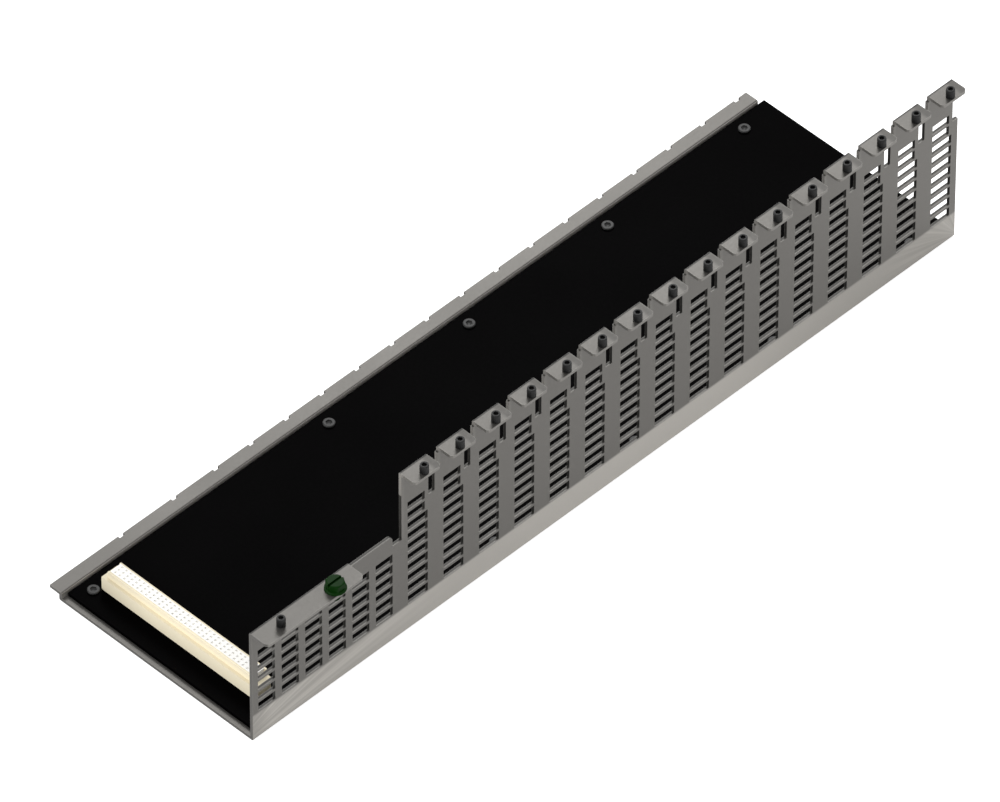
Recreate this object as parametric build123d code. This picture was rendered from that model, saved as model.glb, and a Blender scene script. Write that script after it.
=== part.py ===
from build123d import *
import os

# A folded sheet chassis for a row of plug-in modules. It is drawn in millimetres with x from its left
# end, y from the outer face of its front wall towards the back and z from the underside of its plate,
# and is moved at the end so that its origin lies under the middle of its box.

# Sheet and bends
SHEET_T = 1.5
BEND_OUT_R = 0.8
BEND_IN_R = 0.2

# Module strips of the tall wall
MODULE_COUNT = 16
MODULE_PITCH = 20.32
FIRST_STRIP_X = 84.5
STRIP_W = 15.2
STRIP_STEP_W = 1.5
STRIP_STEP_DROP = 11.0
GAP_DEPTH = 22.5
END_MARGIN = 3.2
END_MARGIN_DROP = 23.8
TAB_TOP_Z = 92.0
TAB_D = 7.7
TAB_CORNER_R = 1.8
TAB_RELIEF_W = 0.88
TAB_RELIEF_DEPTH = 2.5

# Low wall with its flange
LOW_WALL_END_X = 79.3
LOW_WALL_TOP_Z = 61.5
LOW_WALL_CORNER_R = 2.0
NOTCH_DEPTH = 7.2
FLANGE_END_X = 55.0
FLANGE_D = 9.0
FLANGE_CORNER_R = 2.5

# Vents: slots in rows and columns through the wall
VENT_H = 4.6
VENT_ROW_PITCH = 6.01
TALL_VENT_LENGTH = 11.4
TALL_VENT_INSET = 3.4
TALL_VENT_ROWS = 10
TALL_VENT_FIRST_Z = 16.9
SHORT_VENT_ROWS = 2
SHORT_VENT_CUT = 1.6
LOW_VENT_LENGTH = 9.6
LOW_VENT_FIRST_X = 8.0
LOW_VENT_PITCH = 13.3
LOW_VENT_COLUMNS = 6
LOW_VENT_ROWS = 6
LOW_VENT_FIRST_Z = 17.5

# Plate and the rail along its back edge, raised by a joggle
PLATE_D = 110.3
RAIL_TOP_Z = 4.6
RAIL_REACH = 7.2
RAIL_END_MARGIN = 3.2
RAIL_NOTCH_W = 2.9
RAIL_NOTCH_D = 1.2
RAIL_NOTCH_INSET = 9.3
RAIL_LOW_NOTCH_X = 39.9
RAIL_LOW_NOTCH_PITCH = 30.1
RAIL_LOW_NOTCHES = 2

# Backplane board
BOARD_T = 1.6
BOARD_LEFT_X = 3.0
BOARD_EDGE_GAP = 0.3
BOARD_SCREW_LEFT_INSET = 8.2
BOARD_SCREW_FIRST_MODULE = 3
BOARD_SCREW_MODULE_STEP = 4
BOARD_SCREW_BACK_INSET = 6.4
BOARD_SCREW_FRONT_INSET = 5.4
BOARD_SCREW_COUNT = 4

# Receptacle on the board
CONNECTOR_GAP = 0.3
CONNECTOR_Y = 13.4
CONNECTOR_W = 9.1
CONNECTOR_H = 10.3
CONNECTOR_STEP_W = 1.5
CONNECTOR_STEP_H = 7.0
CONNECTOR_WALL = 0.9
CONNECTOR_END_WALL = 2.8
CONNECTOR_LIP = 0.7
INSERT_GAP = 0.05
INSERT_PROUD = 0.4
CONTACT_PITCH = 2.54
CONTACT_COLUMNS = 32
CONTACT_LANES = 3
CONTACT_LANE_PITCH = 1.9
CONTACT_HOLE = 1.0
CONTACT_W = 0.6
CONTACT_DEPTH = 3.0
CONTACT_END_INSET = 2.1

# Screws, all tapped straight into the sheet
THREAD_GAP = 0.03

# Module screws on the tabs and the flange
MODULE_SCREW_D = 2.5
MODULE_SCREW_SOCKET = 2.0
SCREW_HEAD_D = 3.9
SCREW_HEAD_H = 4.4
SCREW_SOCKET_DEPTH = 1.6
SCREW_SHANK_L = 3.5
TAB_SCREW_INSET = 7.4
TAB_SCREW_EDGE = 2.1
FLANGE_SCREW_X = 12.1
FLANGE_SCREW_EDGE = 4.5

# Board screws
BOARD_SCREW_D = 3.0
BOARD_SCREW_SOCKET = 2.5
BOARD_HEAD_D = 5.4
BOARD_HEAD_H = 1.0
BOARD_SOCKET_DEPTH = 0.7
BOARD_HOLE_GAP = 0.15
BOARD_SCREW_SHY = 0.1

# Ground screw in the flange
GROUND_X = 41.9
GROUND_EDGE = 3.7
GROUND_SCREW_D = 4.0
GROUND_WASHER_D = 9.4
GROUND_WASHER_H = 1.2
GROUND_WASHER_SLOPE = 0.6
GROUND_HEX_WIDTH = 7.4
GROUND_HEX_H = 3.2
GROUND_SLOT_W = 1.2
GROUND_SLOT_DEPTH = 1.3
GROUND_SHANK_L = 9.5

# Worked out from the sizes above
LENGTH = FIRST_STRIP_X + (MODULE_COUNT - 1) * MODULE_PITCH + STRIP_W + END_MARGIN
STRIP_STEP_Z = TAB_TOP_Z - STRIP_STEP_DROP
GAP_FLOOR_Z = TAB_TOP_Z - GAP_DEPTH
PLAIN_WALL_TOP_Z = LOW_WALL_TOP_Z - SHEET_T
NOTCH_FLOOR_Z = LOW_WALL_TOP_Z - NOTCH_DEPTH
RISER_IN_Y = PLATE_D + BEND_IN_R
RISER_OUT_Y = RISER_IN_Y + SHEET_T
RAIL_OUT_Y = PLATE_D + RAIL_REACH
BOARD_TOP_Z = SHEET_T + BOARD_T
BOARD_FRONT_Y = SHEET_T + BEND_IN_R + BOARD_EDGE_GAP
BOARD_BACK_Y = PLATE_D - BOARD_EDGE_GAP
BOARD_SCREW_LEFT_X = BOARD_LEFT_X + BOARD_SCREW_LEFT_INSET
CONNECTOR_X = BOARD_SCREW_LEFT_X + BOARD_HEAD_D / 2 + CONNECTOR_GAP
INSERT_L = (CONTACT_COLUMNS - 1) * CONTACT_PITCH + 2 * CONTACT_END_INSET
CONNECTOR_L = INSERT_L + 2 * CONNECTOR_END_WALL
TAB_SCREW_D = TAB_D - TAB_SCREW_EDGE
FLANGE_SCREW_D = FLANGE_D - FLANGE_SCREW_EDGE
GROUND_D = FLANGE_D - GROUND_EDGE
FRONT_REACH = max(TAB_D, FLANGE_D, GROUND_D + GROUND_WASHER_D / 2)
BOX_MIDDLE = Vector(LENGTH / 2, (RAIL_OUT_Y - FRONT_REACH) / 2, 0)
CUT_OVER = 1.0


def strip_x(module):
    return FIRST_STRIP_X + module * MODULE_PITCH


def block(x0, x1, y0, y1, z0, z1):
    """A solid between two opposite corners."""
    centre = Pos((x0 + x1) / 2, (y0 + y1) / 2, (z0 + z1) / 2)
    return centre * Box(x1 - x0, y1 - y0, z1 - z0)


def rod(diameter, z0, z1):
    """An upright cylinder from z0 up to z1."""
    return Pos(0, 0, z0) * Cylinder(diameter / 2, z1 - z0, align=(Align.CENTER, Align.CENTER, Align.MIN))


def hexagon(width, z0, z1):
    """An upright hexagonal prism, width across its flats."""
    return Pos(0, 0, z0) * extrude(RegularPolygon(width / 2, 6, major_radius=False), amount=z1 - z0)


def copies(shape, places):
    """The same shape at each place."""
    return [place * shape for place in places]


# Folded sheet

def folded(x0, x1, wall_top, tab_depth):
    """A length of sheet bent from rail to wall, and outwards again at its top where it has a tab."""
    corners = [
        (RAIL_OUT_Y, RAIL_TOP_Z - SHEET_T, 0),
        (RISER_OUT_Y, RAIL_TOP_Z - SHEET_T, BEND_IN_R),
        (RISER_OUT_Y, 0, BEND_OUT_R),
        (0, 0, BEND_OUT_R),
    ]
    if tab_depth:
        corners += [
            (0, wall_top - SHEET_T, BEND_IN_R),
            (-tab_depth, wall_top - SHEET_T, 0),
            (-tab_depth, wall_top, 0),
            (SHEET_T, wall_top, BEND_OUT_R),
        ]
    else:
        corners += [(0, wall_top, 0), (SHEET_T, wall_top, 0)]
    corners += [
        (SHEET_T, SHEET_T, BEND_IN_R),
        (RISER_IN_Y, SHEET_T, BEND_IN_R),
        (RISER_IN_Y, RAIL_TOP_Z, BEND_OUT_R),
        (RAIL_OUT_Y, RAIL_TOP_Z, 0),
    ]
    section = make_face(Polyline(*[(y, z) for y, z, radius in corners], close=True))
    for y, z, radius in corners:
        if radius:
            section = fillet(section.vertices().sort_by_distance((y, z, 0))[0], radius)
    return extrude(Plane.YZ.offset(x0) * section, amount=x1 - x0)


def through_wall(x0, x1, z0, z1):
    """A cutter through the front wall and whatever is bent out of it."""
    return block(x0, x1, -FRONT_REACH - CUT_OVER, SHEET_T + CUT_OVER, z0, z1)


def strip_gaps():
    """The cuts that part the strips, narrower below the step."""
    cuts = []
    top = TAB_TOP_Z + CUT_OVER
    for module in range(MODULE_COUNT - 1):
        left = strip_x(module) + STRIP_W
        right = strip_x(module + 1)
        cuts.append(through_wall(left, right - STRIP_STEP_W, GAP_FLOOR_Z, top))
        cuts.append(through_wall(left, right, STRIP_STEP_Z, top))
        cuts.append(through_wall(left, right + TAB_RELIEF_W, TAB_TOP_Z - TAB_RELIEF_DEPTH, top))
    last = strip_x(MODULE_COUNT - 1) + STRIP_W
    cuts.append(through_wall(last, LENGTH + CUT_OVER, TAB_TOP_Z - END_MARGIN_DROP, top))
    return cuts


def tall_vents():
    """A column of slots under each module, the upper ones shortened beside the gap."""
    cuts = []
    for module in range(MODULE_COUNT):
        left = strip_x(module) + TALL_VENT_INSET
        for row in range(TALL_VENT_ROWS):
            short = row >= TALL_VENT_ROWS - SHORT_VENT_ROWS
            right = left + TALL_VENT_LENGTH - (SHORT_VENT_CUT if short else 0)
            z = TALL_VENT_FIRST_Z + row * VENT_ROW_PITCH
            cuts.append(block(left, right, -CUT_OVER, SHEET_T + CUT_OVER, z - VENT_H / 2, z + VENT_H / 2))
    return cuts


def low_vents():
    """The shorter slots of the low wall."""
    slot = Box(LOW_VENT_LENGTH, SHEET_T + 2 * CUT_OVER, VENT_H)
    places = [
        Pos(LOW_VENT_FIRST_X + column * LOW_VENT_PITCH, SHEET_T / 2, LOW_VENT_FIRST_Z + row * VENT_ROW_PITCH)
        for column in range(LOW_VENT_COLUMNS)
        for row in range(LOW_VENT_ROWS)
    ]
    return copies(slot, places)


def rail_cuts():
    """Notches in the rail's outer edge, and its end cut back from the plate's."""
    notches = [RAIL_LOW_NOTCH_X + index * RAIL_LOW_NOTCH_PITCH for index in range(RAIL_LOW_NOTCHES)]
    notches += [strip_x(module) + RAIL_NOTCH_INSET for module in range(MODULE_COUNT)]
    tool = Box(RAIL_NOTCH_W, 2 * RAIL_NOTCH_D, 2 * RAIL_TOP_Z)
    cuts = copies(tool, [Pos(x, RAIL_OUT_Y, RAIL_TOP_Z) for x in notches])
    end = LENGTH - RAIL_END_MARGIN
    cuts.append(block(end, LENGTH + CUT_OVER, PLATE_D, RAIL_OUT_Y + CUT_OVER, -CUT_OVER, RAIL_TOP_Z + CUT_OVER))
    return cuts


def tab_screw_places(z):
    return [Pos(strip_x(module) + TAB_SCREW_INSET, -TAB_SCREW_D, z) for module in range(MODULE_COUNT)]


def flange_screw_place(z):
    return Pos(FLANGE_SCREW_X, -FLANGE_SCREW_D, z)


def ground_place(z):
    return Pos(GROUND_X, -GROUND_D, z)


def board_screw_places(z):
    columns = [BOARD_SCREW_LEFT_X]
    for index in range(BOARD_SCREW_COUNT):
        columns.append(strip_x(BOARD_SCREW_FIRST_MODULE + index * BOARD_SCREW_MODULE_STEP))
    rows = [BOARD_FRONT_Y + BOARD_SCREW_FRONT_INSET, BOARD_BACK_Y - BOARD_SCREW_BACK_INSET]
    return [Pos(x, y, z) for x in columns for y in rows]


def chassis_sheet():
    sheet = folded(0, FLANGE_END_X, LOW_WALL_TOP_Z, FLANGE_D)
    sheet += folded(FLANGE_END_X, LOW_WALL_END_X, PLAIN_WALL_TOP_Z, 0)
    sheet += folded(LOW_WALL_END_X, FIRST_STRIP_X, NOTCH_FLOOR_Z, 0)
    sheet += folded(FIRST_STRIP_X, LENGTH, TAB_TOP_Z, TAB_D)
    sheet -= strip_gaps()
    upright = sheet.edges().filter_by(Axis.Z)
    tab_corners = upright.filter_by(lambda e: abs(e.center().Y + TAB_D) < SHEET_T / 10)
    tab_corners = tab_corners.filter_by(lambda e: e.center().X > LOW_WALL_END_X)
    sheet = fillet(tab_corners, TAB_CORNER_R)
    upright = sheet.edges().filter_by(Axis.Z)
    flange_corners = upright.filter_by(lambda e: abs(e.center().Y + FLANGE_D) < SHEET_T / 10)
    sheet = fillet(flange_corners, FLANGE_CORNER_R)
    across = sheet.edges().filter_by(Axis.Y)
    low_corner = across.sort_by_distance((LOW_WALL_END_X, SHEET_T / 2, PLAIN_WALL_TOP_Z))[0]
    sheet = fillet(low_corner, LOW_WALL_CORNER_R)
    module_hole = rod(MODULE_SCREW_D, -SHEET_T - CUT_OVER, CUT_OVER)
    board_hole = rod(BOARD_SCREW_D, -SHEET_T - CUT_OVER, CUT_OVER)
    ground_hole = rod(GROUND_SCREW_D, -SHEET_T - CUT_OVER, CUT_OVER)
    cuts = tall_vents() + low_vents() + rail_cuts()
    cuts += copies(module_hole, tab_screw_places(TAB_TOP_Z))
    cuts += copies(module_hole, [flange_screw_place(LOW_WALL_TOP_Z)])
    cuts += copies(ground_hole, [ground_place(LOW_WALL_TOP_Z)])
    cuts += copies(board_hole, board_screw_places(SHEET_T))
    return [sheet - cuts]


# Board and receptacle

def backplane_board():
    board = block(BOARD_LEFT_X, LENGTH, BOARD_FRONT_Y, BOARD_BACK_Y, SHEET_T, BOARD_TOP_Z)
    hole = rod(BOARD_SCREW_D + 2 * BOARD_HOLE_GAP, SHEET_T - CUT_OVER, BOARD_TOP_Z + CUT_OVER)
    return [board - copies(hole, board_screw_places(0))]


def insert_block(grow, z0, z1):
    """The space inside the shell, or the insert that fills it with a gap all round."""
    x0 = CONNECTOR_X + CONNECTOR_STEP_W + CONNECTOR_WALL
    x1 = CONNECTOR_X + CONNECTOR_W - CONNECTOR_WALL
    y0 = CONNECTOR_Y + CONNECTOR_END_WALL
    return block(x0 - grow, x1 + grow, y0 - grow, y0 + INSERT_L + grow, z0, z1)


def connector_body():
    """The stepped outer shell, open underneath, its upper part two side walls around the insert."""
    right = CONNECTOR_X + CONNECTOR_W
    end = CONNECTOR_Y + CONNECTOR_L
    step_z = BOARD_TOP_Z + CONNECTOR_STEP_H
    top = BOARD_TOP_Z + CONNECTOR_H
    shell = block(CONNECTOR_X, right, CONNECTOR_Y, end, BOARD_TOP_Z, step_z)
    set_back = CONNECTOR_END_WALL - CONNECTOR_LIP
    shell += block(CONNECTOR_X + CONNECTOR_STEP_W, right, CONNECTOR_Y + set_back, end - set_back, BOARD_TOP_Z, top)
    shell -= insert_block(0, BOARD_TOP_Z - CUT_OVER, top + CUT_OVER)
    slot_x0 = CONNECTOR_X + CONNECTOR_STEP_W + CONNECTOR_WALL
    return [shell - block(slot_x0, right - CONNECTOR_WALL, CONNECTOR_Y, end, step_z, top + CUT_OVER)]


def contact_places(z):
    """Lanes along the insert, centred in it."""
    middle_x = CONNECTOR_X + (CONNECTOR_STEP_W + CONNECTOR_W) / 2
    middle_y = CONNECTOR_Y + CONNECTOR_L / 2
    grid = GridLocations(CONTACT_LANE_PITCH, CONTACT_PITCH, CONTACT_LANES, CONTACT_COLUMNS)
    return [Pos(middle_x, middle_y, z) * place for place in grid]


def connector_insert():
    top = BOARD_TOP_Z + CONNECTOR_H + INSERT_PROUD
    insert = insert_block(-INSERT_GAP, BOARD_TOP_Z, top)
    hole = Box(CONTACT_HOLE, CONTACT_HOLE, 2 * (CONNECTOR_H + INSERT_PROUD))
    holes = copies(hole, contact_places(top))
    return [insert - holes]


def connector_contacts():
    height = CONNECTOR_H + INSERT_PROUD - CONTACT_DEPTH
    contact = Box(CONTACT_W, CONTACT_W, height, align=(Align.CENTER, Align.CENTER, Align.MIN))
    return copies(contact, contact_places(BOARD_TOP_Z))


# Screws, each drawn with its seat at z = 0

def socket_screw(thread_d, head_d, head_h, socket, socket_depth, shank_l):
    screw = rod(head_d, 0, head_h) - hexagon(socket, head_h - socket_depth, head_h + CUT_OVER)
    return screw + rod(thread_d - 2 * THREAD_GAP, -shank_l, 0)


def module_screw():
    return socket_screw(MODULE_SCREW_D, SCREW_HEAD_D, SCREW_HEAD_H, MODULE_SCREW_SOCKET, SCREW_SOCKET_DEPTH,
                        SCREW_SHANK_L)


def tab_screws():
    return copies(module_screw(), tab_screw_places(TAB_TOP_Z))


def flange_screw():
    return [flange_screw_place(LOW_WALL_TOP_Z) * module_screw()]


def board_screws():
    shank_l = BOARD_T + SHEET_T - BOARD_SCREW_SHY
    screw = socket_screw(BOARD_SCREW_D, BOARD_HEAD_D, BOARD_HEAD_H, BOARD_SCREW_SOCKET, BOARD_SOCKET_DEPTH, shank_l)
    return copies(screw, board_screw_places(BOARD_TOP_Z))


def ground_screw():
    washer = rod(GROUND_WASHER_D, 0, GROUND_WASHER_H)
    washer = chamfer(washer.edges().group_by(Axis.Z)[-1], GROUND_WASHER_SLOPE)
    head_top = GROUND_WASHER_H + GROUND_HEX_H
    screw = washer + hexagon(GROUND_HEX_WIDTH, GROUND_WASHER_H, head_top)
    screw -= Pos(0, 0, head_top) * Box(GROUND_WASHER_D, GROUND_SLOT_W, 2 * GROUND_SLOT_DEPTH)
    screw += rod(GROUND_SCREW_D - 2 * THREAD_GAP, -GROUND_SHANK_L, 0)
    return [ground_place(LOW_WALL_TOP_Z) * screw]


SUB_PARTS = (
    chassis_sheet,
    backplane_board,
    connector_body,
    connector_insert,
    connector_contacts,
    tab_screws,
    flange_screw,
    ground_screw,
    board_screws,
)


def main():
    os.makedirs("parts", exist_ok=True)
    to_frame = Pos(-BOX_MIDDLE.X, -BOX_MIDDLE.Y, 0)
    for sub_part in SUB_PARTS:
        solids = [solid for piece in sub_part() for solid in (to_frame * piece).solids()]
        name = sub_part.__name__
        shape = solids[0] if len(solids) == 1 else Compound(children=solids)
        shape.label = name
        export_step(shape, "parts/" + name + ".step")


main()
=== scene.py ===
import bmesh
import bpy
import math
from mathutils import Matrix, Vector


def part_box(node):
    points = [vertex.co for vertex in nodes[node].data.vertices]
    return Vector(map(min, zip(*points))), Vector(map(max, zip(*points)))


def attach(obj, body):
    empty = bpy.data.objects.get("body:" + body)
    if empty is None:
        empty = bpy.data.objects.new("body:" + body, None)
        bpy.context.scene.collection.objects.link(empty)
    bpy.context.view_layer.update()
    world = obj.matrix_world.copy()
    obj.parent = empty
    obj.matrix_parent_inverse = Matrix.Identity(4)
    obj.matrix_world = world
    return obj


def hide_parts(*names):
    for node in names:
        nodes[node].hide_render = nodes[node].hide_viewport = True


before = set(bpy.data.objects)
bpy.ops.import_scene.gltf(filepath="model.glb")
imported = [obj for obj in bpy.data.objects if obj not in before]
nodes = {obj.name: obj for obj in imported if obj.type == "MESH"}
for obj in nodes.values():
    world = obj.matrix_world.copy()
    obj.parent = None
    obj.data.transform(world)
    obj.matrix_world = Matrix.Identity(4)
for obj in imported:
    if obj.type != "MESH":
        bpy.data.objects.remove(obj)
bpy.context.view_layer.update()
MM = 0.001

# Places of the part's own drawing, in millimetres, turned into the frame's metres by at() and drawn()

DRAWN_MIDDLE = (203.85, 53.75)
SHEET_LENGTH = 407.7
MODULE_COUNT = 16
MODULE_PITCH = 20.32
FIRST_STRIP_X = 84.5
TAB_TOP_Z = 92.0
FLANGE_TOP_Z = 61.5
BOARD_TOP_Z = 3.1
STRIP_STEP_Z = 79.0


def at(x, y, z):
    """A point of the drawing in the frame."""
    return Vector(((x - DRAWN_MIDDLE[0]) * MM, (y - DRAWN_MIDDLE[1]) * MM, z * MM))


def drawn(axis, place):
    """One coordinate of the drawing in the frame."""
    return at(place, place, place)["xyz".index(axis)]


def new_object(name, data):
    """An object on the given mesh, lamp or camera, linked to the scene."""
    thing = bpy.data.objects.new(name, data)
    bpy.context.collection.objects.link(thing)
    return thing


# Camera: a long lens far off, set by the slots and corners of the chassis

CAMERA_SPOT = (-3.21834, -3.18713, 4.58185)
CAMERA_TURN = math.radians(-45.197)
CAMERA_ELEVATION = math.radians(45.267)
CAMERA_ROLL = math.radians(0.078)
CAMERA_LENS = 565.76
CAMERA_REACH = 50.0


def make_camera():
    camera = new_object("camera", bpy.data.cameras.new("camera"))
    camera.data.lens = CAMERA_LENS
    camera.data.clip_end = CAMERA_REACH
    turn = Matrix.Rotation(CAMERA_TURN, 4, "Z")
    tilt = Matrix.Rotation(math.pi / 2 - CAMERA_ELEVATION, 4, "X")
    roll = Matrix.Rotation(CAMERA_ROLL, 4, "Z")
    camera.matrix_world = Matrix.Translation(CAMERA_SPOT) @ turn @ tilt @ roll
    bpy.context.scene.camera = camera


# Node helpers

FACING_START = 0.6
FACING_FULL = 0.9


def new_material(name):
    """A material with its tree to add nodes to, and its shader."""
    material = bpy.data.materials.new(name)
    material.use_nodes = True
    tree = material.node_tree
    return material, tree, tree.nodes["Principled BSDF"]


def add(tree, kind, inputs=None, **settings):
    """A node with its settings and its unlinked inputs set."""
    node = tree.nodes.new(kind)
    for key, value in settings.items():
        setattr(node, key, value)
    for key, value in (inputs or {}).items():
        node.inputs[key].default_value = value
    return node


def math_node(tree, operation, a, b=None, clamp=False):
    """A Math node on sockets or plain numbers."""
    node = add(tree, "ShaderNodeMath", operation=operation, use_clamp=clamp)
    for index, value in enumerate((a, b)):
        if value is None:
            continue
        if isinstance(value, (int, float)):
            node.inputs[index].default_value = value
        else:
            tree.links.new(value, node.inputs[index])
    return node.outputs[0]


def times(tree, *factors):
    """The product of sockets and numbers."""
    product = factors[0]
    for factor in factors[1:]:
        product = math_node(tree, "MULTIPLY", product, factor)
    return product


def plus(tree, *terms):
    """The sum of sockets and numbers."""
    total = terms[0]
    for term in terms[1:]:
        total = math_node(tree, "ADD", total, term)
    return total


def one_less(tree, *factors):
    """1 less the product of sockets and numbers."""
    return math_node(tree, "SUBTRACT", 1.0, times(tree, *factors))


def fade(tree, value, start, end):
    """0 at start and 1 at end, smooth between."""
    node = add(
        tree, "ShaderNodeMapRange", {"From Min": start, "From Max": end}, interpolation_type="SMOOTHSTEP"
    )
    tree.links.new(value, node.inputs["Value"])
    return node.outputs["Result"]


def mix_colour(tree, factor, a, b, blend="MIX"):
    """A Mix node between two colours, each a socket or a plain colour."""
    node = add(tree, "ShaderNodeMix", data_type="RGBA", blend_type=blend)
    for index, value in ((0, factor), (6, a), (7, b)):
        if isinstance(value, bpy.types.NodeSocket):
            tree.links.new(value, node.inputs[index])
        else:
            node.inputs[index].default_value = value
    return node.outputs[2]


def split_xyz(tree, vector):
    """The vector's three sockets, by axis."""
    node = add(tree, "ShaderNodeSeparateXYZ")
    tree.links.new(vector, node.inputs[0])
    return {axis: node.outputs[axis.upper()] for axis in "xyz"}


class Surface:
    """Where a material's surface is and how it faces: its point, and its place and normal by axis."""

    def __init__(self, tree):
        self.tree = tree
        node = add(tree, "ShaderNodeTexCoord")
        self.point = node.outputs["Object"]
        self.place = split_xyz(tree, self.point)
        self.normal = split_xyz(tree, node.outputs["Normal"])

    def faces(self, axis, sign):
        """1 where the surface faces along the axis, to its plus or minus side."""
        return fade(self.tree, self.normal[axis], sign * FACING_START, sign * FACING_FULL)

    def runs(self, axis, start, end):
        """0 at one drawn place along the axis and 1 at the other."""
        return fade(self.tree, self.place[axis], drawn(axis, start), drawn(axis, end))


def new_group(name, inputs, outputs):
    """An empty shader group with named inputs and outputs: name, socket kind and, for an input, its value."""
    group = bpy.data.node_groups.new(name, "ShaderNodeTree")
    for label, kind, value in inputs:
        socket = group.interface.new_socket(name=label, in_out="INPUT", socket_type=kind)
        if value is not None:
            socket.default_value = value
    for label, kind in outputs:
        group.interface.new_socket(name=label, in_out="OUTPUT", socket_type=kind)
    return group, add(group, "NodeGroupInput"), add(group, "NodeGroupOutput")


def place_group(tree, group, point, **values):
    """A group's node on the point, with the given inputs set."""
    node = add(tree, "ShaderNodeGroup", node_tree=group)
    tree.links.new(point, node.inputs["Point"])
    for label, value in values.items():
        node.inputs[label.replace("_", " ")].default_value = value
    return node


# Shared finishes

ROUGHNESS_SWING = 0.12
WEAR_GAIN = 5.0
WEAR_PATCH_SWING = 0.6
WEAR_PATCH_LEVEL = 0.5
USUAL_BUMP = 0.08
BOARD_BUMP = 0.02
BUMP_DISTANCE = 0.0001
FINE_GRAIN = 900.0
SMALL_WEAR_RADIUS = 0.0002
SMALL_WEAR_BREAK = 600.0


def make_satin_group():
    """Fine plated grain: a colour shade, a roughness and a height, from two sizes of noise."""
    group, start, end = new_group(
        "satin_grain",
        [("Point", "NodeSocketVector", None), ("Grain Size", "NodeSocketFloat", 900.0),
         ("Cloud Size", "NodeSocketFloat", 18.0), ("Shade Amount", "NodeSocketFloat", 0.06),
         ("Base Roughness", "NodeSocketFloat", 0.45)],
        [("Shade", "NodeSocketFloat"), ("Roughness", "NodeSocketFloat"), ("Height", "NodeSocketFloat")],
    )
    fine = add(group, "ShaderNodeTexNoise", {"Detail": 3.0, "Roughness": 0.6})
    cloud = add(group, "ShaderNodeTexNoise", {"Detail": 2.0, "Roughness": 0.5})
    for noise, label in ((fine, "Grain Size"), (cloud, "Cloud Size")):
        group.links.new(start.outputs["Point"], noise.inputs["Vector"])
        group.links.new(start.outputs[label], noise.inputs["Scale"])
    both = plus(group, fine.outputs["Fac"], cloud.outputs["Fac"])
    centred = math_node(group, "SUBTRACT", both, 1.0)
    swing = times(group, centred, start.outputs["Shade Amount"])
    group.links.new(plus(group, swing, 1.0), end.inputs["Shade"])
    rough_swing = times(group, centred, ROUGHNESS_SWING)
    roughness = math_node(group, "ADD", start.outputs["Base Roughness"], rough_swing, clamp=True)
    group.links.new(roughness, end.inputs["Roughness"])
    group.links.new(fine.outputs["Fac"], end.inputs["Height"])
    return group


def make_edge_group():
    """Edge wear: 0 on flat faces and 1 on worn edges, broken up by noise."""
    group, start, end = new_group(
        "edge_wear",
        [("Point", "NodeSocketVector", None), ("Radius", "NodeSocketFloat", 0.0006),
         ("Break Size", "NodeSocketFloat", 220.0)],
        [("Wear", "NodeSocketFloat")],
    )
    bevel = add(group, "ShaderNodeBevel", samples=4)
    group.links.new(start.outputs["Radius"], bevel.inputs["Radius"])
    geometry = add(group, "ShaderNodeNewGeometry")
    dot = add(group, "ShaderNodeVectorMath", operation="DOT_PRODUCT")
    group.links.new(bevel.outputs[0], dot.inputs[0])
    group.links.new(geometry.outputs["Normal"], dot.inputs[1])
    edge = math_node(group, "SUBTRACT", 1.0, dot.outputs["Value"])
    strong = math_node(group, "MULTIPLY", edge, WEAR_GAIN, clamp=True)
    noise = add(group, "ShaderNodeTexNoise", {"Detail": 2.0})
    group.links.new(start.outputs["Point"], noise.inputs["Vector"])
    group.links.new(start.outputs["Break Size"], noise.inputs["Scale"])
    patchy = plus(group, times(group, noise.outputs["Fac"], WEAR_PATCH_SWING), WEAR_PATCH_LEVEL)
    group.links.new(math_node(group, "MULTIPLY", strong, patchy, clamp=True), end.inputs["Wear"])
    return group


satin_group = make_satin_group()
edge_group = make_edge_group()


# The sheet's colour, and its painted light and shade in shares of that colour: gains are painted light,
# losses take painted light away, and the shades are painted shade. Their places are drawn millimetres.

SHEET_COLOUR = (0.105, 0.1005, 0.0935, 1)
SHEET_EDGE = (0.23, 0.225, 0.21, 1)
SHEET_ROUGHNESS = 0.42
SHEET_SHADE_SWING = 0.07
SHEET_METALLIC = 0.6
SHEET_SPECULAR = 0.3
SHEET_WEAR = 0.5
# Painted light on the faces that look to the front or the back
WALL_PAINTED_LIGHT = 0.72

# Painted sheen: a lighter lower band of the front wall, with streaks
BAND_TOP_Z = 14.4
BAND_BLUR = 1.2
BAND_SHEEN_GAIN = 3.5
BAND_LEFT_FADE = (0.0, 12.0)
BAND_LEFT_LOSS = 0.35
BAND_MIDDLE_FADE = (60.0, 180.0)
BAND_MIDDLE_LOSS = 0.12
BAND_RIGHT_FADE = (SHEET_LENGTH - 160.0, SHEET_LENGTH - 30.0)
BAND_RIGHT_LOSS = 0.34

# Each fan of painted sheen streaks: the x it spreads from, its fineness, the x where it starts and is full, its
# strength
SHEEN_STREAK_FANS = (
    (-20.0, 14.0, (130.0, 30.0), 2.0),
    (SHEET_LENGTH + 2.0, 9.0, (SHEET_LENGTH - 50.0, SHEET_LENGTH - 20.0), 1.4),
)

# Painted highlight: a lighter line beside each strip's left edge
STRIP_HIGHLIGHT_GAIN = 0.22
STRIP_LINE_W = 2.2
STRIP_LINE_FADE = (79.0, 81.0)
FIRST_LINE_FADE = (52.0, 58.0)
STRIP_START_BLUR = 0.1
FIRST_STRIP_BLUR = 2.0

# Painted light on the front edges of the tabs and the flange
LIP_PAINTED_LIGHT = 0.7
LIP_FADE = (-4.0, -5.0)
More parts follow.
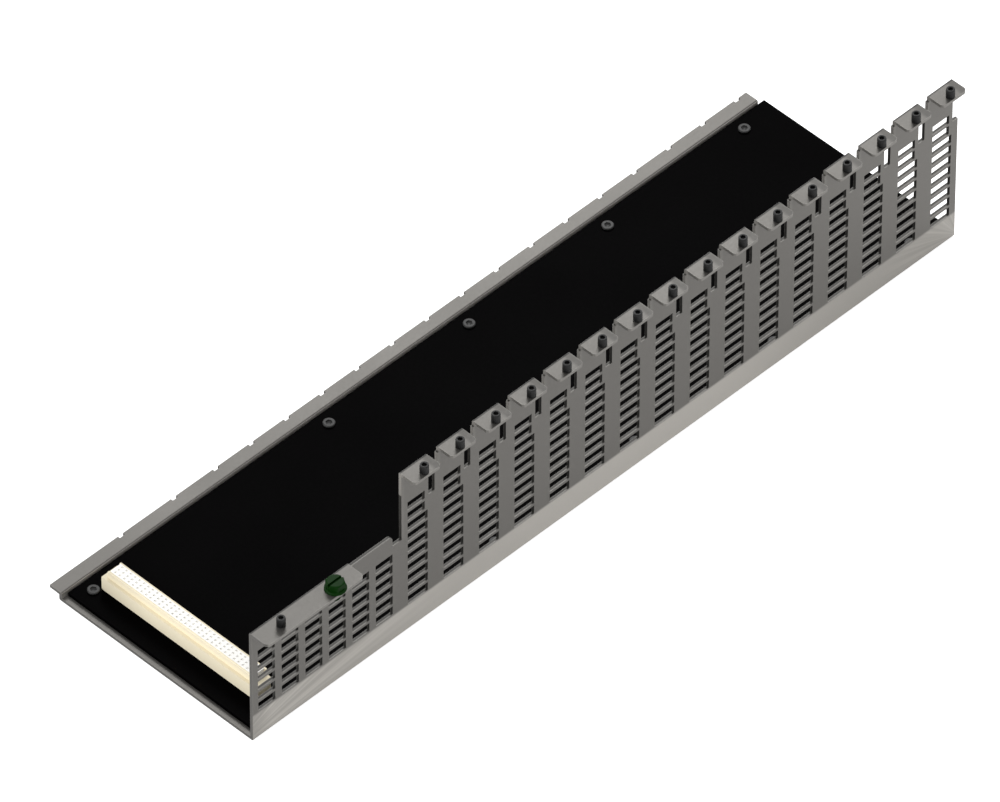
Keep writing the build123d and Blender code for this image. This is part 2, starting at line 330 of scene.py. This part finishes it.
# Painted light on the strips' left sides above their step, less out on the tabs
STRIP_SIDE_PAINTED_LIGHT = 2.2
STRIP_SIDE_FADE = (STRIP_STEP_Z, STRIP_STEP_Z + 0.6)
TAB_SIDE_LOSS = 1.1
TAB_SIDE_FADE = (-0.3, -1.2)
# Painted shade on the right ends of the tabs' tops
TAB_END_PAINTED_SHADE = 0.4
TAB_END_FADE = (10.8, 13.0)
TAB_TOP_FADE = (90.5, 91.5)

# Painted shade on the cut edges that face left, and on the ledges inside the slots
CUT_EDGE_PAINTED_SHADE = 0.45
LEFT_END_W = 2.0
LEDGE_PAINTED_SHADE = 0.28
LEDGE_FADE = (0.15, 0.75)
ABOVE_PLATE_FADE = (5.0, 6.0)


def painted_sheen_streaks(surface, centre_x, fineness):
    """Fan-shaped streaks of painted sheen that spread from a low point of the wall."""
    tree = surface.tree
    aside = math_node(tree, "SUBTRACT", surface.place["x"], drawn("x", centre_x))
    angle = math_node(tree, "ARCTAN2", surface.place["z"], math_node(tree, "ABSOLUTE", aside))
    spot = add(tree, "ShaderNodeCombineXYZ")
    tree.links.new(angle, spot.inputs["X"])
    noise = add(tree, "ShaderNodeTexNoise", {"Scale": fineness, "Detail": 2.0, "Roughness": 0.6})
    tree.links.new(spot.outputs[0], noise.inputs["Vector"])
    return math_node(tree, "SUBTRACT", noise.outputs["Fac"], 0.5)


def painted_band_sheen(surface, front):
    """Painted sheen: the lighter lower band of the front wall, with its streaks."""
    tree = surface.tree
    low = surface.runs("z", BAND_TOP_Z + BAND_BLUR / 2, BAND_TOP_Z - BAND_BLUR)
    left_end = plus(tree, times(tree, surface.runs("x", *BAND_LEFT_FADE), BAND_LEFT_LOSS), 1.0 - BAND_LEFT_LOSS)
    middle = plus(
        tree, times(tree, surface.runs("x", *BAND_MIDDLE_FADE), BAND_MIDDLE_LOSS), 1.0 - BAND_MIDDLE_LOSS
    )
    right_end = one_less(tree, surface.runs("x", *BAND_RIGHT_FADE), BAND_RIGHT_LOSS)
    fans = 1.0
    for centre_x, fineness, reach, strength in SHEEN_STREAK_FANS:
        fan = times(tree, painted_sheen_streaks(surface, centre_x, fineness), surface.runs("x", *reach), strength)
        fans = plus(tree, fan, fans)
    return times(tree, front, low, left_end, middle, right_end, fans, BAND_SHEEN_GAIN)


def painted_strip_highlight(surface, front, since_first, along):
    """A painted highlight beside each strip's left edge, longer on the first strip."""
    tree = surface.tree
    line = fade(tree, along, STRIP_LINE_W * MM, STRIP_LINE_W * MM / 3)
    on_first = fade(tree, since_first, MODULE_PITCH * MM, (MODULE_PITCH - FIRST_STRIP_BLUR) * MM)
    longer = times(tree, on_first, surface.runs("z", *FIRST_LINE_FADE))
    height = math_node(tree, "MAXIMUM", surface.runs("z", *STRIP_LINE_FADE), longer)
    started = fade(tree, since_first, 0, STRIP_START_BLUR * MM)
    return times(tree, front, started, line, height, STRIP_HIGHLIGHT_GAIN)


def painted_strip_side_light(surface):
    """Painted light on the left sides of the strips above their step, less of it out on the tabs."""
    tree = surface.tree
    loss = times(tree, surface.runs("y", *TAB_SIDE_FADE), TAB_SIDE_LOSS)
    gain = math_node(tree, "SUBTRACT", STRIP_SIDE_PAINTED_LIGHT, loss)
    return times(tree, surface.faces("x", -1), surface.runs("z", *STRIP_SIDE_FADE), gain)


def painted_tab_end_shade(surface, along):
    """Painted shade on the right ends of the tabs' tops."""
    tree = surface.tree
    on_top = times(tree, surface.faces("z", 1), surface.runs("z", *TAB_TOP_FADE))
    return times(tree, on_top, fade(tree, along, TAB_END_FADE[0] * MM, TAB_END_FADE[1] * MM), -TAB_END_PAINTED_SHADE)


def sheet_painted_light_and_shade(surface):
    """What the sheet's colour is multiplied by: 1 and all its painted light and shade."""
    tree = surface.tree
    front = surface.faces("y", -1)
    # Painted light on the faces that look to the front or the back of the wall
    either_side = fade(tree, math_node(tree, "ABSOLUTE", surface.normal["y"]), FACING_START, FACING_FULL)
    since_first = math_node(tree, "SUBTRACT", surface.place["x"], drawn("x", FIRST_STRIP_X))
    along = math_node(tree, "FLOORED_MODULO", since_first, MODULE_PITCH * MM)
    return plus(
        tree,
        times(tree, either_side, WALL_PAINTED_LIGHT),
        painted_band_sheen(surface, front),
        painted_strip_highlight(surface, front, since_first, along),
        # painted light on the front edges of the tabs and the flange
        times(tree, front, surface.runs("y", *LIP_FADE), LIP_PAINTED_LIGHT),
        painted_strip_side_light(surface),
        painted_tab_end_shade(surface, along),
        1.0,
    )


def sheet_painted_shade(surface):
    """Painted shade on the cut edges that face left below the strips' step, and on the ledges inside the slots.
    """
    tree = surface.tree
    cut = times(tree, surface.faces("x", -1), surface.runs("x", 0.0, LEFT_END_W))
    cut = times(tree, cut, surface.runs("z", STRIP_SIDE_FADE[1], STRIP_SIDE_FADE[0]))
    ledges = times(tree, surface.faces("z", 1), surface.runs("y", *LEDGE_FADE))
    ledges = times(tree, ledges, surface.runs("z", *ABOVE_PLATE_FADE))
    return times(tree, one_less(tree, cut, 1.0 - CUT_EDGE_PAINTED_SHADE), one_less(tree, ledges, 1.0 - LEDGE_PAINTED_SHADE))


def link_grain(tree, shader, satin, bump_strength):
    """The satin grain's roughness and bump on the shader."""
    tree.links.new(satin.outputs["Roughness"], shader.inputs["Roughness"])
    bump = add(tree, "ShaderNodeBump", {"Strength": bump_strength, "Distance": BUMP_DISTANCE})
    tree.links.new(satin.outputs["Height"], bump.inputs["Height"])
    tree.links.new(bump.outputs[0], shader.inputs["Normal"])


def sheet_steel():
    """Satin plated steel: a fine grain, worn edges, and its painted light and shade."""
    material, tree, shader = new_material("grey_sheet")
    surface = Surface(tree)
    satin = place_group(
        tree, satin_group, surface.point, Base_Roughness=SHEET_ROUGHNESS, Shade_Amount=SHEET_SHADE_SWING
    )
    edge = place_group(tree, edge_group, surface.point)
    # The grain's tone times the sheet's painted light and painted shade
    shade = times(tree, satin.outputs["Shade"], sheet_painted_light_and_shade(surface), sheet_painted_shade(surface))
    shaded = mix_colour(tree, 1.0, SHEET_COLOUR, shade, "MULTIPLY")
    wear = times(tree, edge.outputs["Wear"], SHEET_WEAR)
    tree.links.new(mix_colour(tree, wear, shaded, SHEET_EDGE), shader.inputs["Base Color"])
    link_grain(tree, shader, satin, USUAL_BUMP)
    shader.inputs["Metallic"].default_value = SHEET_METALLIC
    shader.inputs["Specular IOR Level"].default_value = SHEET_SPECULAR
    return material


# The other finishes, with the places of their painted shade in drawn millimetres

# Painted shade on the shell's step and far end, and low on the module screws' sides
SHELL_STEP_FADE = (11.0, 10.6)
SHELL_STEP_PAINTED_SHADE = 0.06
SHELL_FAR_FADE = (70.0, 103.0)
SHELL_FAR_PAINTED_SHADE = 0.17
SCREW_LOW_PAINTED_SHADE = 0.25
SCREW_SHADE_FADE = (1.2, 4.0)
ON_TAB_FADE = (80.0, 81.0)


def shell_painted_shade(surface):
    """Painted shade: the shell is a little darker on its step and toward its far end."""
    tree = surface.tree
    step = times(tree, surface.faces("z", 1), surface.runs("z", *SHELL_STEP_FADE), SHELL_STEP_PAINTED_SHADE)
    far = times(tree, surface.runs("y", *SHELL_FAR_FADE), SHELL_FAR_PAINTED_SHADE)
    return math_node(tree, "SUBTRACT", one_less(tree, step), far)


def screw_painted_shade(surface):
    """Painted shade: the module screws' heads are darker low on their sides, on the tabs and on the flange."""
    tree = surface.tree
    raised = times(tree, surface.runs("z", *ON_TAB_FADE), (TAB_TOP_Z - FLANGE_TOP_Z) * MM)
    height = math_node(tree, "SUBTRACT", surface.place["z"], plus(tree, FLANGE_TOP_Z * MM, raised))
    up = fade(tree, height, SCREW_SHADE_FADE[0] * MM, SCREW_SHADE_FADE[1] * MM)
    return plus(tree, SCREW_LOW_PAINTED_SHADE, times(tree, up, 1.0 - SCREW_LOW_PAINTED_SHADE))


def plain_finish(name, colour, roughness, metallic=0.0, specular=0.5, bump=USUAL_BUMP, worn=None, painted_shading=None):
    """A surface with the satin grain and, where it has them, its own painted shade and a worn edge colour."""
    material, tree, shader = new_material(name)
    surface = Surface(tree)
    satin = place_group(tree, satin_group, surface.point, Base_Roughness=roughness, Grain_Size=FINE_GRAIN)
    shade = satin.outputs["Shade"]
    if painted_shading:
        shade = times(tree, shade, painted_shading(surface))
    shaded = mix_colour(tree, 1.0, colour, shade, "MULTIPLY")
    if worn:
        edge = place_group(
            tree, edge_group, surface.point, Radius=SMALL_WEAR_RADIUS, Break_Size=SMALL_WEAR_BREAK
        )
        shaded = mix_colour(tree, edge.outputs["Wear"], shaded, worn)
    tree.links.new(shaded, shader.inputs["Base Color"])
    link_grain(tree, shader, satin, bump)
    shader.inputs["Metallic"].default_value = metallic
    shader.inputs["Specular IOR Level"].default_value = specular
    return material


FINISHES = {
    "chassis_sheet": sheet_steel(),
    "backplane_board": plain_finish(
        "black_board", (0.0006, 0.0005, 0.0006, 1), roughness=0.36, specular=0.0045, bump=BOARD_BUMP
    ),
    "connector_body": plain_finish(
        "cream_shell", (0.95, 0.86, 0.65, 1), roughness=0.55, specular=0.3, painted_shading=shell_painted_shade
    ),
    "connector_insert": plain_finish("white_insert", (0.985, 0.975, 0.94, 1), roughness=0.5),
}
contact_metal = plain_finish("contact_metal", (0.93, 0.91, 0.86, 1), roughness=0.4, metallic=0.15)
# The module screws carry painted shade low on their sides
dark_screw = plain_finish(
    "dark_screw", (0.014, 0.014, 0.014, 1), roughness=0.45, metallic=0.2, specular=0.22,
    worn=(0.07, 0.07, 0.07, 1), painted_shading=screw_painted_shade,
)
green_screw = plain_finish(
    "green_screw", (0.003, 0.026, 0.002, 1), roughness=0.4, specular=0.05, worn=(0.006, 0.05, 0.004, 1)
)
board_screw = plain_finish(
    "board_screw", (0.014, 0.014, 0.014, 1), roughness=0.5, metallic=0.2, worn=(0.08, 0.08, 0.08, 1)
)


def dress_nodes():
    """The finishes on the frame's own meshes."""
    for name, material in FINISHES.items():
        mesh = nodes[name].data
        mesh.materials.clear()
        mesh.materials.append(material)


# Turned pieces, in millimetres: rings of points around a line, each with its own outline

RING_STEPS = 48
KNURL_DEPTH = 0.035
THREAD_PITCH = 0.5
THREAD_DEPTH = 0.2
THREAD_RINGS_PER_TURN = 4
TIP_SHARE = 0.36
TIP_H = 0.3
THREAD_STOP = 0.1
SOCKET_CHAMFER = 0.12
SOCKET_CONE_SHARE = 0.2
SOCKET_CONE_H = 0.3

SCREW_SHANK_D = 2.44
SCREW_SHANK_L = 3.5
SCREW_TOP = 4.39
SCREW_SOCKET_W = 2.0
SCREW_SOCKET_H = 1.5
BOARD_SHANK_D = 2.94
BOARD_SHANK_L = 3.0
BOARD_HEAD_TOP = 0.99
BOARD_SOCKET_W = 2.5
BOARD_SOCKET_H = 0.6
GROUND_SHANK_D = 3.94
GROUND_SHANK_L = 6.0
GROUND_TOP = 4.39
GROUND_SLOT_W = 1.2
GROUND_SLOT_H = 1.3
GROUND_SLOT_MIDDLE_Z = 4.4
GROUND_SLOT_L = 12.0

MODULE_HEAD = [
    ("round", 1.25, 0), ("round", 1.80, 0), ("round", 1.94, 0.15), ("knurl", 1.94, 0.35),
    ("knurl", 1.94, 3.75), ("round", 1.90, 3.95), ("round", 1.84, 4.25), ("round", 1.66, SCREW_TOP),
]
BOARD_HEAD = [
    ("round", 1.5, 0), ("round", 2.5, 0), ("round", 2.69, 0.2), ("round", 2.69, 0.6),
    ("round", 2.55, 0.88), ("round", 2.3, BOARD_HEAD_TOP),
]
GROUND_HEAD = [
    ("round", 2.0, 0), ("round", 4.55, 0), ("round", 4.69, 0.15), ("round", 4.69, 0.55),
    ("round", 4.1, 1.19), ("hex", 3.69, 1.2), ("hex", 3.69, 3.9), ("round", 3.62, 4.25),
    ("round", 3.35, GROUND_TOP),
]


def ring_radius(kind, radius, angle, z):
    """The distance from the middle at one angle: round, hexagonal, knurled or threaded."""
    if kind == "hex":
        third = math.pi / 3
        return radius / math.cos(angle % third - third / 2)
    if kind == "knurl":
        return radius * (1 - KNURL_DEPTH * (0.5 + 0.5 * math.cos(angle * RING_STEPS / 2)))
    if kind == "thread":
        phase = (z / (THREAD_PITCH * MM) - angle / (2 * math.pi)) % 1.0
        return radius * (1 - THREAD_DEPTH * abs(2 * phase - 1))
    return radius


def as_mesh(bm, name):
    """The finished mesh of a bmesh, with its faces outward."""
    bmesh.ops.recalc_face_normals(bm, faces=bm.faces)
    mesh = bpy.data.meshes.new(name)
    bm.to_mesh(mesh)
    bm.free()
    return mesh


def turned(name, rings):
    """A closed mesh through rings of (kind, radius, z), from the shank's tip to the socket's floor."""
    bm = bmesh.new()
    loops = []
    for kind, radius, z in rings:
        loop = []
        for step in range(RING_STEPS):
            angle = 2 * math.pi * step / RING_STEPS
            r = ring_radius(kind, radius * MM, angle, z * MM)
            loop.append(bm.verts.new((r * math.cos(angle), r * math.sin(angle), z * MM)))
        loops.append(loop)
    for low, high in zip(loops, loops[1:]):
        for step in range(RING_STEPS):
            after = (step + 1) % RING_STEPS
            bm.faces.new((low[step], low[after], high[after], high[step]))
    for loop in (loops[0][::-1], loops[-1]):
        centre = bm.verts.new(sum((v.co for v in loop), Vector()) / RING_STEPS)
        for step in range(RING_STEPS):
            bm.faces.new((loop[step], loop[(step + 1) % RING_STEPS], centre))
    return as_mesh(bm, name)


def thread_rings(diameter, length):
    """A shank from its chamfered tip up to just under the head, cut with a thread."""
    steps = int(length / THREAD_PITCH * THREAD_RINGS_PER_TURN)
    start = -length + TIP_H
    run = length - TIP_H - THREAD_STOP
    tip = [("round", diameter * TIP_SHARE, -length)]
    return tip + [("thread", diameter / 2, start + run * i / steps) for i in range(steps + 1)]


def socket_rings(width, top, depth):
    """A hexagonal socket with a slightly chamfered mouth and a conical floor."""
    return [
        ("hex", width / 2 + SOCKET_CHAMFER, top),
        ("hex", width / 2, top - SOCKET_CHAMFER),
        ("hex", width / 2, top - depth),
        ("round", width * SOCKET_CONE_SHARE, top - depth - SOCKET_CONE_H),
    ]


def module_screw_mesh():
    """Tall cap screw with a knurled head."""
    shank = thread_rings(SCREW_SHANK_D, SCREW_SHANK_L)
    return turned("module_screw", shank + MODULE_HEAD + socket_rings(SCREW_SOCKET_W, SCREW_TOP, SCREW_SOCKET_H))


def board_screw_mesh():
    """Low flat head with a rounded rim."""
    shank = thread_rings(BOARD_SHANK_D, BOARD_SHANK_L)
    socket = socket_rings(BOARD_SOCKET_W, BOARD_HEAD_TOP, BOARD_SOCKET_H)
    return turned("board_screw", shank + BOARD_HEAD + socket)


# Contacts, in millimetres: each level of a prong is how far out it stands, its half width and its height

PRONG_LEVELS = (
    (0.18, 0.26, 0), (0.18, 0.26, 5.0), (0.30, 0.26, 7.5), (0.22, 0.36, 9.3), (0.28, 0.43, 10.45),
)
PRONG_HALF_T = 0.15
CONTACT_LANES = 3
CONTACT_LANE_PITCH = 1.9
CONTACT_COUNT = 32
CONTACT_PITCH = 2.54
CONTACT_HALF_W = 0.3


def contact_mesh():
    """Two-pronged spring contact, a few dozen faces."""
    bm = bmesh.new()
    for side in (-1, 1):
        loops = []
        for out, half, z in PRONG_LEVELS:
            inner, outer = out - PRONG_HALF_T, out + PRONG_HALF_T
            corners = ((inner, -half), (outer, -half), (outer, half), (inner, half))
            loops.append([bm.verts.new((side * a * MM, b * MM, z * MM)) for a, b in corners])
        for low, high in zip(loops, loops[1:]):
            for i in range(4):
                j = (i + 1) % 4
                bm.faces.new((low[i], low[j], high[j], high[i]))
        bm.faces.new(loops[0])
        bm.faces.new(loops[-1])
    return as_mesh(bm, "contact")


# Repeated pieces: one tree sets copies of a piece in columns and rows

COPIES_INPUTS = (
    ("Geometry", "NodeSocketGeometry"), ("Piece", "NodeSocketObject"), ("Columns", "NodeSocketInt"),
    ("Column Pitch", "NodeSocketFloat"), ("Rows", "NodeSocketInt"), ("Row Pitch", "NodeSocketFloat"),
    ("Start", "NodeSocketVector"), ("Finish", "NodeSocketMaterial"),
)


def make_copies_tree():
    """Columns of points, each carrying rows of points, and the piece on every one of them."""
    tree = bpy.data.node_groups.new("copies_in_rows", "GeometryNodeTree")
    for label, kind in COPIES_INPUTS:
        tree.interface.new_socket(name=label, in_out="INPUT", socket_type=kind)
    tree.interface.new_socket(name="Geometry", in_out="OUTPUT", socket_type="NodeSocketGeometry")
    start = add(tree, "NodeGroupInput")
    end = add(tree, "NodeGroupOutput")
    lines = []
    for count, pitch, axis in (("Columns", "Column Pitch", "X"), ("Rows", "Row Pitch", "Y")):
        step = add(tree, "ShaderNodeCombineXYZ")
        tree.links.new(start.outputs[pitch], step.inputs[axis])
        line = add(tree, "GeometryNodeMeshLine")
        tree.links.new(start.outputs[count], line.inputs["Count"])
        tree.links.new(step.outputs[0], line.inputs["Offset"])
        lines.append(line)
    tree.links.new(start.outputs["Start"], lines[0].inputs["Start Location"])
    grid = add(tree, "GeometryNodeInstanceOnPoints")
    tree.links.new(lines[0].outputs[0], grid.inputs["Points"])
    tree.links.new(lines[1].outputs[0], grid.inputs["Instance"])
    places = add(tree, "GeometryNodeRealizeInstances")
    tree.links.new(grid.outputs[0], places.inputs[0])
    piece = add(tree, "GeometryNodeObjectInfo")
    tree.links.new(start.outputs["Piece"], piece.inputs["Object"])
    copies = add(tree, "GeometryNodeInstanceOnPoints")
    tree.links.new(places.outputs[0], copies.inputs["Points"])
    tree.links.new(piece.outputs["Geometry"], copies.inputs["Instance"])
    whole = add(tree, "GeometryNodeRealizeInstances")
    tree.links.new(copies.outputs[0], whole.inputs[0])
    finish = add(tree, "GeometryNodeSetMaterial")
    tree.links.new(whole.outputs[0], finish.inputs["Geometry"])
    tree.links.new(start.outputs["Finish"], finish.inputs["Material"])
    tree.links.new(finish.outputs[0], end.inputs[0])
    return tree


copies_tree = make_copies_tree()


def evaluated_mesh(thing, *helpers):
    """The object's mesh with its modifier applied; the object and its helpers are then removed."""
    bpy.context.view_layer.update()
    graph = bpy.context.evaluated_depsgraph_get()
    result = bpy.data.meshes.new_from_object(thing.evaluated_get(graph))
    for helper in (thing, *helpers):
        bpy.data.objects.remove(helper)
    return result


def rows_of(mesh, finish, start, columns=1, column_pitch=0.0, rows=1, row_pitch=0.0):
    """The mesh copied in columns along X and rows along Y from the start, as a plain mesh."""
    source = new_object(mesh.name + "_source", mesh)
    carrier = new_object("carrier", bpy.data.meshes.new("carrier"))
    modifier = carrier.modifiers.new("copies", "NODES")
    modifier.node_group = copies_tree
    values = {
        "Piece": source, "Columns": columns, "Column Pitch": column_pitch * MM, "Rows": rows,
        "Row Pitch": row_pitch * MM, "Start": tuple(start), "Finish": finish,
    }
    for socket in copies_tree.interface.items_tree:
        if socket.in_out == "INPUT" and socket.name in values:
            modifier[socket.identifier] = values[socket.name]
    return evaluated_mesh(carrier, source)


def joined(meshes, finish):
    """Several meshes of one finish as one."""
    bm = bmesh.new()
    for mesh in meshes:
        bm.from_mesh(mesh)
    result = bpy.data.meshes.new("joined")
    bm.to_mesh(result)
    bm.free()
    for face in result.polygons:
        face.material_index = 0
    result.materials.append(finish)
    return result


def new_piece(name, mesh, node):
    """A finished piece on the body, in place of a node of the frame."""
    piece = new_object(name, mesh)
    mesh.name = name
    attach(piece, "root")
    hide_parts(node)


# Where the screws sit, in drawn millimetres

TAB_SCREW_INSET = 7.4
TAB_SCREW_Y = -5.6
FLANGE_SCREW = (12.1, -4.5)
BOARD_SCREW_X = 11.2
BOARD_SCREW_FRONT_Y = 7.4
BOARD_SCREW_BACK_Y = 103.6
BOARD_SCREW_COLUMNS = 4
BOARD_SCREW_FIRST_MODULE = 3
BOARD_SCREW_MODULE_STEP = 4
GROUND_SCREW = (41.9, -5.3)


def make_screws():
    """The dark screws on the tabs, the flange and the board."""
    screw = module_screw_mesh()
    first_tab = at(FIRST_STRIP_X + TAB_SCREW_INSET, TAB_SCREW_Y, TAB_TOP_Z)
    tabs = rows_of(screw, dark_screw, first_tab, MODULE_COUNT, MODULE_PITCH)
    new_piece("module_screws_on_tabs", tabs, "tab_screws")
    flange = rows_of(screw, dark_screw, at(*FLANGE_SCREW, FLANGE_TOP_Z))
    new_piece("module_screw_on_flange", flange, "flange_screw")
    low = board_screw_mesh()
    across = {"rows": 2, "row_pitch": BOARD_SCREW_BACK_Y - BOARD_SCREW_FRONT_Y}
    left = rows_of(low, board_screw, at(BOARD_SCREW_X, BOARD_SCREW_FRONT_Y, BOARD_TOP_Z), **across)
    first_x = FIRST_STRIP_X + BOARD_SCREW_FIRST_MODULE * MODULE_PITCH
    rest = rows_of(
        low, board_screw, at(first_x, BOARD_SCREW_FRONT_Y, BOARD_TOP_Z),
        BOARD_SCREW_COLUMNS, BOARD_SCREW_MODULE_STEP * MODULE_PITCH, **across,
    )
    new_piece("low_board_screws", joined([left, rest], board_screw), "board_screws")


def make_contacts():
    """The contacts in the receptacle's holes."""
    low_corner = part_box("connector_contacts")[0]
    start = Vector((
        low_corner[0] + CONTACT_HALF_W * MM, low_corner[1] + CONTACT_HALF_W * MM, BOARD_TOP_Z * MM
    ))
    contacts = rows_of(
        contact_mesh(), contact_metal, start, CONTACT_LANES, CONTACT_LANE_PITCH, CONTACT_COUNT, CONTACT_PITCH
    )
    new_piece("fork_contacts", contacts, "connector_contacts")


def cut_slot(mesh):
    """The ground screw's mesh with a straight slot sawn across its top."""
    bm = bmesh.new()
    bmesh.ops.create_cube(bm, size=1.0)
    size = (GROUND_SLOT_L * MM, GROUND_SLOT_W * MM, 2 * GROUND_SLOT_H * MM)
    bmesh.ops.scale(bm, vec=size, verts=bm.verts)
    bmesh.ops.translate(bm, vec=(0, 0, GROUND_SLOT_MIDDLE_Z * MM), verts=bm.verts)
    blade = new_object("blade", bpy.data.meshes.new("blade"))
    bm.to_mesh(blade.data)
    bm.free()
    body = new_object("body", mesh)
    modifier = body.modifiers.new("slot", "BOOLEAN")
    modifier.operation = "DIFFERENCE"
    modifier.object = blade
    return evaluated_mesh(body, blade)


def make_ground_screw():
    """Green hexagonal washer-head screw with a slot."""
    whole = turned("ground_screw_body", thread_rings(GROUND_SHANK_D, GROUND_SHANK_L) + GROUND_HEAD)
    body = cut_slot(whole)
    body.transform(Matrix.Translation(at(*GROUND_SCREW, FLANGE_TOP_Z)))
    body.materials.clear()
    body.materials.append(green_screw)
    new_piece("green_ground_screw", body, "ground_screw")


# Floor, backdrop and light

FLOOR_HALF = 6.0
FLOOR_DROP = 0.0002
FLOOR_GREY = 0.8
FLOOR_SEEN_GLOW = 0.75
FLOOR_MIRRORED_GLOW = 0.3
AMBIENT = 0.76
MIDDLE = (0, 0, 0)
KEY_SPOT = (0.92, 0.90, 1.25)
KEY_SIZE = 0.6
KEY_POWER = 10.0
FILL_SPOT = (-1.8, 0.5, 0.55)
FILL_SIZE = 1.2
FILL_POWER = 13.5


def make_floor():
    """A pale floor that shows white to the camera and pale in reflections."""
    mesh = bpy.data.meshes.new("floor")
    corners = [
        (-FLOOR_HALF, -FLOOR_HALF, 0), (FLOOR_HALF, -FLOOR_HALF, 0),
        (FLOOR_HALF, FLOOR_HALF, 0), (-FLOOR_HALF, FLOOR_HALF, 0),
    ]
    mesh.from_pydata(corners, [], [(0, 1, 2, 3)])
    floor = new_object("floor", mesh)
    floor.location.z = -FLOOR_DROP
    material, tree, shader = new_material("pale_floor")
    shader.inputs["Base Color"].default_value = (FLOOR_GREY, FLOOR_GREY, FLOOR_GREY, 1)
    shader.inputs["Roughness"].default_value = 1.0
    shader.inputs["Specular IOR Level"].default_value = 0.0
    path = add(tree, "ShaderNodeLightPath")
    glow = add(tree, "ShaderNodeEmission")
    seen = times(tree, path.outputs["Is Camera Ray"], FLOOR_SEEN_GLOW)
    mirrored = times(tree, path.outputs["Is Glossy Ray"], FLOOR_MIRRORED_GLOW)
    tree.links.new(plus(tree, seen, mirrored), glow.inputs["Strength"])
    both = add(tree, "ShaderNodeAddShader")
    tree.links.new(shader.outputs[0], both.inputs[0])
    tree.links.new(glow.outputs[0], both.inputs[1])
    tree.links.new(both.outputs[0], tree.nodes["Material Output"].inputs["Surface"])
    mesh.materials.append(material)


def make_world():
    """A plain world, white where the camera or a reflection sees it."""
    world = bpy.data.worlds.new("studio")
    world.use_nodes = True
    bpy.context.scene.world = world
    tree = world.node_tree
    ambient = tree.nodes["Background"]
    ambient.inputs["Color"].default_value = (1, 1, 1, 1)
    ambient.inputs["Strength"].default_value = AMBIENT
    white = add(tree, "ShaderNodeBackground", {"Color": (1, 1, 1, 1), "Strength": 1.0})
    path = add(tree, "ShaderNodeLightPath")
    seen = math_node(tree, "MAXIMUM", path.outputs["Is Camera Ray"], path.outputs["Is Glossy Ray"])
    mix = add(tree, "ShaderNodeMixShader")
    tree.links.new(seen, mix.inputs[0])
    tree.links.new(ambient.outputs[0], mix.inputs[1])
    tree.links.new(white.outputs[0], mix.inputs[2])
    tree.links.new(mix.outputs[0], tree.nodes["World Output"].inputs["Surface"])


def make_lamp(name, spot, size, power):
    """A square soft lamp aimed at the middle of the chassis."""
    lamp = new_object(name, bpy.data.lights.new(name, "AREA"))
    lamp.data.size = size
    lamp.data.energy = power
    lamp.location = spot
    lamp.rotation_mode = "QUATERNION"
    lamp.rotation_quaternion = (Vector(MIDDLE) - Vector(spot)).to_track_quat("-Z", "Y")


make_camera()
dress_nodes()
make_screws()
make_contacts()
make_ground_screw()
make_floor()
make_world()
make_lamp("key", KEY_SPOT, KEY_SIZE, KEY_POWER)
make_lamp("fill", FILL_SPOT, FILL_SIZE, FILL_POWER)
bpy.context.scene.view_settings.view_transform = "Standard"
